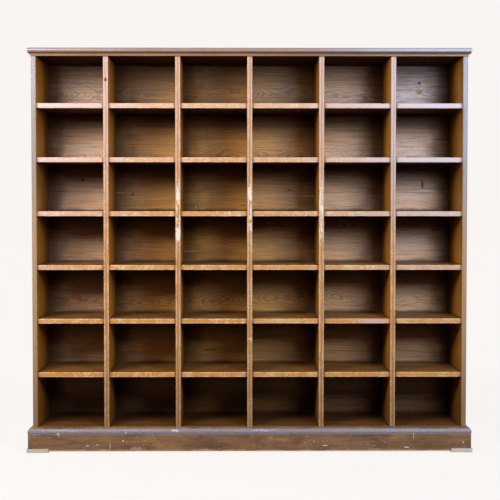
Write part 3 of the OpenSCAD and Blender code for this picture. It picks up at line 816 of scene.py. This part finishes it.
def add_piece(name, bm, material, replaced, tone=0.0):
    """Makes the finished mesh an object that rides on the case and stands for its node."""
    mesh = bpy.data.meshes.new(name)
    bm.to_mesh(mesh)
    bm.free()
    mesh.materials.append(material)
    return settle(put(name, mesh), replaced, tone)


def settle(piece, replaced, tone=None):
    """Shades a piece, gives it its tone, hangs it on the case's root and hides the imported node it replaces.

    Weighted normals keep the wide flat faces flat where they meet small rounds.
    """
    piece.data.shade_smooth()
    piece.data.set_sharp_from_angle(angle=math.radians(35))
    weigh = piece.modifiers.new("weighted", "WEIGHTED_NORMAL")
    weigh.keep_sharp = True
    mesh = evaluated_mesh(piece)
    piece.modifiers.remove(weigh)
    piece.data = mesh
    if tone is not None:
        values = mesh.attributes.new("tone", "FLOAT", "POINT")
        values.data.foreach_set("value", [tone] * len(mesh.vertices))
    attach(piece, "root")
    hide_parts(replaced)
    return piece


def evaluated_mesh(holder):
    """A plain mesh of what an object's modifiers make."""
    graph = bpy.context.evaluated_depsgraph_get()
    return bpy.data.meshes.new_from_object(holder.evaluated_get(graph))


def triangles(piece):
    return sum(len(p.vertices) - 2 for p in piece.data.polygons)


print("board helpers ready")

# %% [markdown]
# An upright's two front arrises are rounds of 2 mm. Wear widens them to 3 to 6 mm, unevenly, more at hand
# height and with short dips where something knocked against the edge. Each point of the small round moves
# to the same angle on a wider one, so the round stays tangent to face and edge.

# %% Wear the uprights
ARRIS = 2 * MM
SPARE = 0.001 * MM    # how far a point of the small round may lie outside it


def wear_at(z, seed):
    """Radius of a worn arris at a height."""
    at_hand = math.exp(-(((z - (HAND_LOW + HAND_HIGH) / 2) / 0.16) ** 2))
    slow = wander(seed, z * 3.1)
    knocks = max(0.0, wander(seed + 40, z * 21.0) - 0.66) * 9 * MM
    return ARRIS + (0.2 + 1.3 * slow + 1.2 * at_hand) * MM + knocks


def wear_upright(bm, seed):
    """Widens the front rounds of an upright and stores how far each point lies across it."""
    xs = [v.co.x for v in bm.verts if v.co.y < FRONT + ARRIS]
    middle, half = (min(xs) + max(xs)) / 2, (max(xs) - min(xs)) / 2
    across = bm.verts.layers.float.new("across")
    for v in bm.verts:
        side = 1 if v.co.x > middle else -1
        v[across] = max(-1.0, min(1.0, (v.co.x - middle) / half))
        over = abs(v.co.x - middle) - (half - ARRIS)
        if v.co.y > FRONT + ARRIS + SPARE or over < -SPARE:
            continue
        wide = wear_at(v.co.z, seed + 10 * side)
        out_x, out_y = over / ARRIS, (FRONT + ARRIS - v.co.y) / ARRIS
        v.co.x = middle + side * (half - wide + wide * out_x)
        v.co.y = FRONT + wide - wide * out_y


for index, name in enumerate(["side_left", *DIVIDERS, "side_right"]):
    bm = board_copy(name)
    cut_in_lengths(bm, 2, 12 * MM)
    wear_upright(bm, index)
    tone = wander(5, index * 3.7) * 4 - 2
    piece = add_piece("worn_" + name, bm, upright_wood, name, tone)
    print(piece.name, "triangles:", triangles(piece))

# %% [markdown]
# The thirty-six shelves are one shape repeated, so a node tree makes them. A section with two rounded front
# corners is swept along the board, noise rubs the front down by fractions of a millimetre, and a cut at
# each front corner leaves the shoulder that hides the housing. Every shelf gets its own seed.

# %% Node tree of a shelf
def store(tree, geometry, name, value):
    """Keeps a number per point under a name that the finishes can read."""
    sockets = {"Geometry": geometry, "Name": name, "Value": value}
    return tree.out("GeometryNodeStoreNamedAttribute", sockets, data_type="FLOAT", domain="POINT")


def shift(tree, geometry, by):
    return tree.out("GeometryNodeTransform", {"Geometry": geometry, "Translation": by})


def cut(tree, mesh, cutters):
    """The mesh with the cutters taken away from it."""
    made = tree.add("GeometryNodeMeshBoolean", {"Mesh 1": mesh}, operation="DIFFERENCE", solver="EXACT")
    for cutter in cutters:
        tree.fill(made.inputs["Mesh 2"], cutter)
    return made.outputs[0]


def dressed(tree, geometry, material):
    """The output of a tree: what was made, realized and given its material."""
    real = tree.out("GeometryNodeRealizeInstances", {"Geometry": geometry})
    return {"Geometry": tree.out("GeometryNodeSetMaterial", {"Geometry": real, "Material": material})}


def build_shelf(tree, start, width, tongue, depth, thick, arris, shoulder, wear, corner, seed, material):
    """A shelf is made from nothing, so the mesh at the start of the tree stays unused."""
    whole = tree.line(tongue, 2.0, width)
    line = tree.out("GeometryNodeCurvePrimitiveLine", {"Start": ZERO, "End": tree.join(whole, 0.0, 0.0)})
    line = tree.out("GeometryNodeResampleCurve", {"Curve": line, "Count": 60}, mode="COUNT")
    # A section's x runs to the front and its y runs down once it is swept along x
    rear, up = tree.times(depth, -1.0), tree.times(thick, -1.0)
    section = tree.out("GeometryNodeCurvePrimitiveQuadrilateral", {
        "Point 1": ZERO, "Point 2": tree.join(rear, 0.0, 0.0),
        "Point 3": tree.join(rear, up, 0.0), "Point 4": tree.join(0.0, up, 0.0),
    }, mode="POINTS")
    spot = tree.out("GeometryNodeInputPosition")
    x, y, z = tree.split(spot)
    at_front = tree.calc("GREATER_THAN", x, -1 * MM)
    section = tree.out("GeometryNodeFilletCurve", {
        "Curve": section, "Count": 5, "Limit Radius": True, "Radius": tree.line(at_front, arris, 0.2 * MM),
    }, mode="POLY")
    board = tree.out("GeometryNodeCurveToMesh", {"Curve": line, "Profile Curve": section, "Fill Caps": True})
    moved = tree.shifted(spot, seed, (3.7, 1.9, 5.3))
    slow = tree.cloud(moved, (26.0, 60.0, 60.0))
    dips = tree.ramp(tree.cloud(moved, (60.0, 90.0, 90.0), 1), 0.60, 0.76)
    front_zone = tree.rest(tree.ramp(y, 4 * MM, 9 * MM))
    rubbed = tree.times(tree.line(dips, 1.6, slow), wear, front_zone, -1.0)
    inward = tree.vec("MULTIPLY", tree.out("GeometryNodeInputNormal"), tree.even(rubbed))
    board = tree.out("GeometryNodeSetPosition", {"Geometry": board, "Offset": inward})
    across = tree.less(tree.calc("DIVIDE", tree.times(z, 2.0), thick), 1.0)
    board = store(tree, board, "across", across)
    board = store(tree, board, "tone", seed)
    size = tree.vec("MULTIPLY", tree.join(tongue, shoulder, thick), (2.0, 2.0, 4.0))
    notch = tree.out("GeometryNodeMeshCube", {"Size": size})
    board = cut(tree, board, [shift(tree, notch, tree.join(at, 0.0, 0.0)) for at in (0.0, whole)])
    return dressed(tree, shift(tree, board, corner), material)


shelf_tree = new_group("Geometry", "shelf_board", {
    "Geometry": None, "Clear width": 0.2755, "Tongue": 5.5 * MM, "Depth": 0.298, "Thickness": 0.021,
    "Arris": ARRIS, "Shoulder": 12 * MM, "Wear": 0.8 * MM, "Corner": ZERO, "Seed": 0.0, "Material": None,
}, build_shelf)

# %% [markdown]
# A tree's inputs are set on the modifier by the identifiers of its sockets. The evaluated result becomes
# a plain mesh, and the modifier goes with the temporary object, so nothing is left to evaluate later.

# %% Run a node tree
def run_tree(name, group, values, source=None):
    """A piece made by the tree as a plain mesh, with inputs given by their names."""
    holder = put(name, source or bpy.data.meshes.new(name))
    modifier = holder.modifiers.new(group.name, "NODES")
    modifier.node_group = group
    identifiers = {s.name: s.identifier for s in group.interface.items_tree if s.in_out == "INPUT"}
    for label, value in values.items():
        modifier[identifiers[label]] = value
    mesh = evaluated_mesh(holder)
    bpy.data.objects.remove(holder)
    return put(name, mesh)


for index, name in enumerate(SHELVES):
    start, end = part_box(name)
    piece = run_tree("worn_" + name, shelf_tree, {
        "Clear width": end.x - start.x - 11 * MM, "Depth": end.y - start.y, "Thickness": end.z - start.z,
        "Corner": start, "Seed": wander(9, index * 2.37) * 4 - 2, "Material": shelf_wood,
    })
    settle(piece, name)
print("shelves:", len(SHELVES), "triangles in the last:", triangles(piece))

# %% [markdown]
# The back is six wide boards, half-lapped along their edges. Each edge was eased with one stroke of a plane
# at the front and at the rear, which leaves a fine groove at every seam. Each board came from another tree,
# so each gets its own tone.

# %% Ease the seams of the back boards
def islands(bm):
    """The loose parts of a mesh, each a list of its points."""
    left, found = set(bm.verts), []
    while left:
        part, edge = [], [left.pop()]
        while edge:
            v = edge.pop()
            part.append(v)
            for link in v.link_edges:
                other = link.other_vert(v)
                if other in left:
                    left.remove(other)
                    edge.append(other)
        found.append(part)
    return found


EASED = 1.0 * MM
BOARD_TONES = [-1.4, -1.4, 0.7, 1.9, 0.0, -3.4]    # from the floor up; set to how light each board's rows look, so partly painted shade
LOWEST = low("back_boards").z
HIGHEST = high("back_boards").z


def is_seam(edge):
    """Whether an edge is a long level arris between two boards, at the front or at the rear."""
    a, b = (v.co for v in edge.verts)
    return (
        all(min(abs(c.y - BACK), abs(c.y - REAR)) < TOUCH for c in (a, b))
        and abs(a.y - b.y) < TOUCH
        and abs(a.z - b.z) < TOUCH
        and LOWEST + 1 * MM < a.z < HIGHEST - 1 * MM
        and edge.calc_length() > 0.1
        and len(edge.link_faces) == 2
        and edge.calc_face_angle() > 0.5
    )


bm = board_copy("back_boards")
tones, middles = bm.verts.layers.float.new("tone"), bm.verts.layers.float.new("middle")
boards = sorted(islands(bm), key=lambda part: min(v.co.z for v in part))
for tone, part in zip(BOARD_TONES, boards):
    heights = [v.co.z for v in part]
    for v in part:
        v[tones] = tone
        v[middles] = (min(heights) + max(heights)) / 2
seam_edges = [e for e in bm.edges if is_seam(e)]
bmesh.ops.bevel(bm, geom=seam_edges, offset=EASED, segments=2, affect="EDGES")
add_piece("eased_back_boards", bm, inner_wood, "back_boards", None)
print("boards:", len(boards), "seam edges eased:", len(seam_edges))

# %% [markdown]
# The mouldings keep their packed sections. Their outer edges lose up to a millimetre unevenly, with a few
# deeper nicks, by moving the points of each short length inwards along their own normals.

# %% Wear the top, the cornice and the plinth
def erode(bm, worn, depth, seed, nick=1.6 * MM):
    """Moves the points that worn() picks inwards, unevenly, with a few nicks."""
    bm.normal_update()
    moves = []
    for v in bm.verts:
        if not worn(v):
            continue
        x, y, z = v.co
        amount = depth * wander(seed, x * 13, y * 13, z * 40)
        amount += nick * max(0.0, wander(seed + 7, x * 55, y * 55, z * 20) - 0.72) / 0.28
        moves.append((v, v.normal * -amount))
    for v, move in moves:
        v.co += move


def bends(v):
    """Whether the surface turns outwards at a point."""
    return any(len(e.link_faces) == 2 and e.calc_face_angle_signed(0.0) > 0.05 for e in v.link_edges)


def outer(edge_x, edge_y):
    """Picks the points that bend and lie outside a box around the middle of the case."""
    return lambda v: (abs(v.co.x) > edge_x or v.co.y < edge_y) and v.co.y < REAR - 1 * MM and bends(v)


FAR = 9.0     # beyond the case, so that this side of the box leaves no point outside
MOULDINGS = [
    ("top_board", 0, 12, SIDE_X, FRONT, top_wood, "top_wood"),
    ("cornice_front", 0, 20, FAR, FRONT - 6 * MM, top_wood, "top_wood"),
    ("cornice_left", 1, 20, SIDE_X + 6 * MM, -FAR, top_wood, "top_wood"),
    ("cornice_right", 1, 20, SIDE_X + 6 * MM, -FAR, top_wood, "top_wood"),
    ("plinth_front", 0, 12, FAR, FRONT - 10 * MM, plinth_wood, "plinth_wood"),
    ("plinth_left", 1, 12, SIDE_X + 10 * MM, -FAR, plinth_wood, "plinth_wood"),
    ("plinth_right", 1, 12, SIDE_X + 10 * MM, -FAR, plinth_wood, "plinth_wood"),
]
for index, (name, axis, step, edge_x, edge_y, material, slot) in enumerate(MOULDINGS):
    bm = board_copy(name)
    cut_in_lengths(bm, axis, step * MM)
    erode(bm, outer(edge_x, edge_y), 0.5 * MM, index)
    piece = add_piece("worn_" + name, bm, material, name, wander(2, index * 5.1) * 2 - 1)
    print(piece.name, "triangles:", triangles(piece))

# %% [markdown]
# The pads are softer and newer than the case. Their visible edges are rounded over and a little uneven.

# %% Soften the corner pads
bm = board_copy("corner_pads")
edges = [e for e in bm.edges if len(e.link_faces) == 2 and e.calc_face_angle() > 0.3]
bmesh.ops.bevel(bm, geom=edges, offset=1.2 * MM, segments=3, affect="EDGES", profile=0.5)
cut_in_lengths(bm, 1, 8 * MM)
erode(bm, bends, 0.3 * MM, 21)
piece = add_piece("soft_corner_pads", bm, pad_wood, "corner_pads")
print(piece.name, "triangles:", triangles(piece))

# %% [markdown]
# Ninety cut nails, eighteen brads and twelve screws repeat a head and a shank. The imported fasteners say
# where each one is and which way it points. One tree then builds a fastener with named sizes and sets it
# on every point, each turned a little differently, as hand-driven iron is.

# %% Node tree of a driven fastener
def cone(tree, sides, bottom, top, height):
    sockets = {"Vertices": sides, "Radius Bottom": bottom, "Radius Top": top, "Depth": height}
    return tree.out("GeometryNodeMeshCone", sockets)


def build_fastener(tree, points, sides, outer_r, inner_r, head_h, shank_r, tip_r, whole, slot, turn, play,
                   seed, material):
    """A head and a shank on every point; a slot of no width leaves the head whole."""
    head = cone(tree, sides, outer_r, inner_r, head_h)
    cutter = tree.out("GeometryNodeMeshCube", {"Size": tree.join(slot, 20 * MM, tree.times(head_h, 0.8))})
    head = tree.out("GeometryNodeSwitch", {
        "Switch": tree.calc("GREATER_THAN", slot, 0.0), "False": head, "True": cut(tree, head, [cutter]),
    }, input_type="GEOMETRY")
    shank = cone(tree, sides, shank_r, tip_r, tree.less(whole, head_h))
    both = tree.add("GeometryNodeJoinGeometry", {0: head})
    tree.fill(both.inputs[0], shift(tree, shank, tree.join(0.0, 0.0, head_h)))
    limits = {2: tree.less(turn, play), 3: tree.calc("ADD", turn, play), "Seed": seed}
    spin = tree.add("FunctionNodeRandomValue", limits, data_type="FLOAT").outputs[1]
    spun = tree.out("FunctionNodeEulerToRotation", {0: tree.join(0.0, 0.0, spin)})
    aim = tree.out("GeometryNodeInputNamedAttribute", {"Name": "aim"}, data_type="FLOAT_VECTOR")
    facing = tree.out("FunctionNodeAlignRotationToVector", {"Vector": aim}, axis="Z")
    turned = tree.out("FunctionNodeRotateRotation", {0: facing, 1: spun}, rotation_space="LOCAL")
    many = tree.out("GeometryNodeInstanceOnPoints", {
        "Points": points, "Instance": both.outputs[0], "Rotation": turned,
    })
    return dressed(tree, many, material)


fastener_tree = new_group("Geometry", "driven_fastener", {
    "Geometry": None, "Sides": 4, "Outer radius": 3 * MM, "Inner radius": 3.5 * MM, "Head height": 1.5 * MM,
    "Shank radius": 1.4 * MM, "Tip radius": 0.7 * MM, "Length": 38 * MM, "Slot": 0.0,
    "Turn": 0.785, "Play": 0.05, "Seed": 1, "Material": None,
}, build_fastener)

# %% [markdown]
# A fastener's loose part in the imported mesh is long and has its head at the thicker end. That gives the
# point of its head and the direction of its shank.

# %% Drive the nails, brads and screws
def heads_of(name):
    """The middle of each head's face and the direction of its shank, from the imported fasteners."""
    bm = board_copy(name)
    places = []
    for part in islands(bm):
        spots = [v.co for v in part]
        start = Vector([min(c[i] for c in spots) for i in range(3)])
        end = Vector([max(c[i] for c in spots) for i in range(3)])
        size = end - start
        axis = max(range(3), key=lambda i: size[i])
        side = (axis + 1) % 3

        def spread(at):
            near = [c[side] for c in spots if abs(c[axis] - at) < TOUCH]
            return max(near) - min(near)

        head_low = spread(start[axis]) > spread(end[axis])
        face = (start + end) / 2
        face[axis] = start[axis] if head_low else end[axis]
        aim = Vector([0.0, 0.0, 0.0])
        aim[axis] = 1.0 if head_low else -1.0
        places.append((face, aim))
    bm.free()
    return places


def drive(name, sizes, seed):
    """Fasteners of one kind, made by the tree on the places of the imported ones."""
    places = heads_of(name)
    points = bpy.data.meshes.new(name + "_places")
    points.from_pydata([face for face, aim in places], [], [])
    points.attributes.new("aim", "FLOAT_VECTOR", "POINT").data.foreach_set(
        "vector", [value for face, aim in places for value in aim])
    piece = run_tree("iron_" + name, fastener_tree, {**sizes, "Seed": seed, "Material": iron}, points)
    settle(piece, name)
    print(piece.name, "placed:", len(places), "triangles:", triangles(piece))


drive("back_nails", {}, 11)
drive("moulding_brads", {
    "Outer radius": 1.5 * MM, "Inner radius": 1.75 * MM, "Head height": 1.25 * MM, "Shank radius": 1.0 * MM,
    "Tip radius": 0.5 * MM, "Length": 30 * MM,
}, 12)
drive("top_screws", {
    "Sides": 20, "Outer radius": 4 * MM, "Inner radius": 2 * MM, "Head height": 3 * MM,
    "Shank radius": 2 * MM, "Tip radius": 1.2 * MM, "Length": 28 * MM, "Slot": 1 * MM, "Play": 1.5,
}, 13)

# %% [markdown]
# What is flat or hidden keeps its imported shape: the carcass top, the bottom board, the bearers and the glue
# blocks. They only take the right finish. The bottom board is the lowest shelf, so it is finished like one.

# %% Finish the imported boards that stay
KEPT = {
    "carcass_top": inner_wood,
    "bottom_board": shelf_wood,
    "floor_bearers": raw_wood,
    "glue_blocks": raw_wood,
}
for name, material in KEPT.items():
    for material_slot in nodes[name].material_slots:
        material_slot.material = material
print("kept:", sorted(KEPT))

# %% [markdown]
# The floor is plain and pale. Its paleness is a glow that only the camera and mirror-like rays see, so it
# neither lights the case from below nor hides the soft shadow under the plinth. Away from the case the glow
# rises to the full strength of the backdrop, so that no horizon shows.

# %% Floor
PALE = (0.947, 0.913, 0.888)

floor_mesh = bpy.data.meshes.new("floor")
floor_mesh.from_pydata([(-30, -30, 0), (30, -30, 0), (30, 30, 0), (-30, 30, 0)], [], [(0, 1, 2, 3)])
floor = put("floor", floor_mesh)


def seen(tree):
    """1 for rays from the camera and for mirror and glass rays."""
    path = tree.add("ShaderNodeLightPath").outputs
    mirrored = tree.calc("MAXIMUM", path["Is Camera Ray"], path["Is Glossy Ray"])
    return tree.calc("MAXIMUM", mirrored, path["Is Transmission Ray"])


floor_material = bpy.data.materials.new("pale_floor")
tree = Tree(emptied(floor_material))
camera_ray = tree.add("ShaderNodeLightPath").outputs["Is Camera Ray"]
matt = tree.out("ShaderNodeBsdfDiffuse", {
    "Color": tree.blend(camera_ray, (0.08, 0.08, 0.08), (0.16, 0.155, 0.15)),
})
where = tree.add("ShaderNodeTexCoord").outputs["Object"]
distant = tree.ramp(tree.length(where), 1.5, 5.0)
before = tree.ramp(tree.split(where)[1], -1.5, 0.0, 0.3, 1.0)
before = tree.calc("MAXIMUM", before, camera_ray)
strength = tree.times(tree.line(distant, 0.1, 0.9), before, seen(tree))
glow = tree.out("ShaderNodeEmission", {"Color": PALE, "Strength": strength})
both = tree.out("ShaderNodeAddShader", {0: matt, 1: glow})
tree.add("ShaderNodeOutputMaterial", {"Surface": both})
floor_mesh.materials.append(floor_material)
print("floor size:", [round(v, 1) for v in floor.dimensions])

# %% [markdown]
# The photograph shows two large soft lights, high at the left and at the right, only two or three metres
# before the case. That is why the upper shelves glow, the lowest cubbies stay dark, and each cubby has its
# shadow towards the nearer light. Two area lamps stand where those shadows point, the right one bluer like
# a window. Weak lamps above and behind keep the other sides readable. The camera sees a pale world all round,
# and gloss sees it too, but for the unlit room before the case, which would veil the dark shellac.

# %% Lights
def lamp(name, place, width, height, watts, tint, aim):
    light = bpy.data.lights.new(name, "AREA")
    light.shape = "RECTANGLE"
    light.size, light.size_y = width, height
    light.energy = watts
    light.color = tint
    holder = put(name, light)
    holder.location = place
    holder.rotation_euler = (Vector(aim) - Vector(place)).to_track_quat("-Z", "Y").to_euler()
    holder.visible_camera = False


lamp("right_window", (1.6, FRONT - 2.9, 2.02), 1.35, 1.15, 98, (0.84, 0.93, 1.12), (1.6, 0.0, 2.02))
lamp("left_window", (-1.9, FRONT - 2.2, 2.1), 1.5, 1.0, 102, (1.0, 0.95, 0.95), (-1.9, 0.0, 2.1))
lamp("ceiling", (0.0, FRONT - 1.8, 3.2), 3.5, 1.0, 12, (0.90, 0.96, 1.10), (0.0, FRONT, 0.8))
lamp("behind", (0.0, 3.0, 2.2), 3.0, 1.5, 50, (1.0, 1.0, 1.0), (0.0, 0.0, 0.8))

FILL = 0.02
ROOM = 0.08
world = scene.world = bpy.data.worlds.new("studio")
tree = Tree(emptied(world))
towards = tree.split(tree.add("ShaderNodeTexCoord").outputs["Generated"])[1]
behind = tree.ramp(towards, -0.3, 0.1, ROOM, 1.0)
camera_ray = tree.add("ShaderNodeLightPath").outputs["Is Camera Ray"]
shown = tree.calc("MAXIMUM", camera_ray, tree.times(seen(tree), behind))
sky = tree.out("ShaderNodeBackground", {"Color": PALE, "Strength": tree.calc("MAXIMUM", shown, FILL)})
tree.add("ShaderNodeOutputWorld", {"Surface": sky})
scene.view_settings.view_transform = "Standard"
